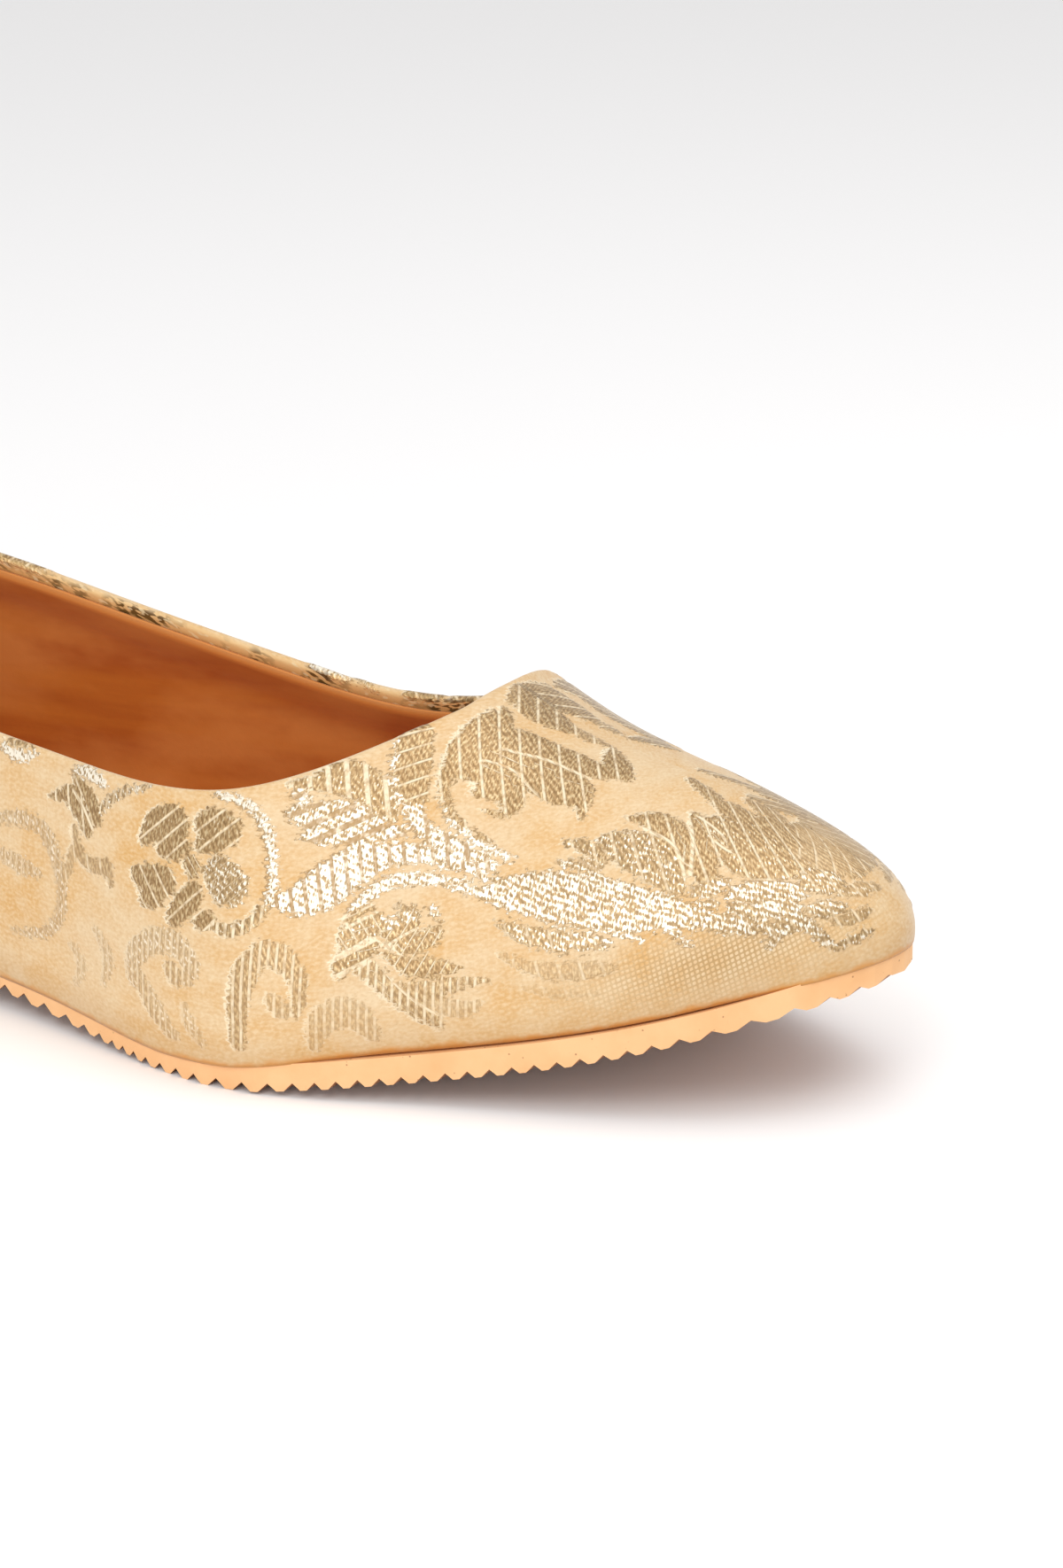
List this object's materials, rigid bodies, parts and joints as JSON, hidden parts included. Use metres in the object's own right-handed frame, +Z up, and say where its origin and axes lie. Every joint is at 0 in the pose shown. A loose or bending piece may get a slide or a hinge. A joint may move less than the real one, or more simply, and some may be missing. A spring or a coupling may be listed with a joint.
{
  "type": "brocade ballet flat shoe",
  "caption": "Low pointed slip-on shoe with a woven floral brocade upper, rounded throat, ribbed rubber sole with toe spring and a low heel lift",
  "frame": {"origin": "Centre of the bounding box, on the floor plane that the heel lift and the ball of the sole rest on", "axes": "+X points to the toe, +Y to the lateral (outer) side of this left shoe, +Z up"},
  "size_m": [0.25, 0.0809, 0.0598],
  "materials": {
    "outsole_rubber": "satin tan rubber sheet",
    "lift_rubber": "satin tan rubber",
    "insole_board": "matt brown",
    "brocade": "cream and pale gold satin brocade"
  },
  "bodies": {
    "root": {"outsole": "outsole_rubber", "heel_lift": "lift_rubber", "insole": "insole_board", "upper": "brocade"}
  },
  "joints": []
}
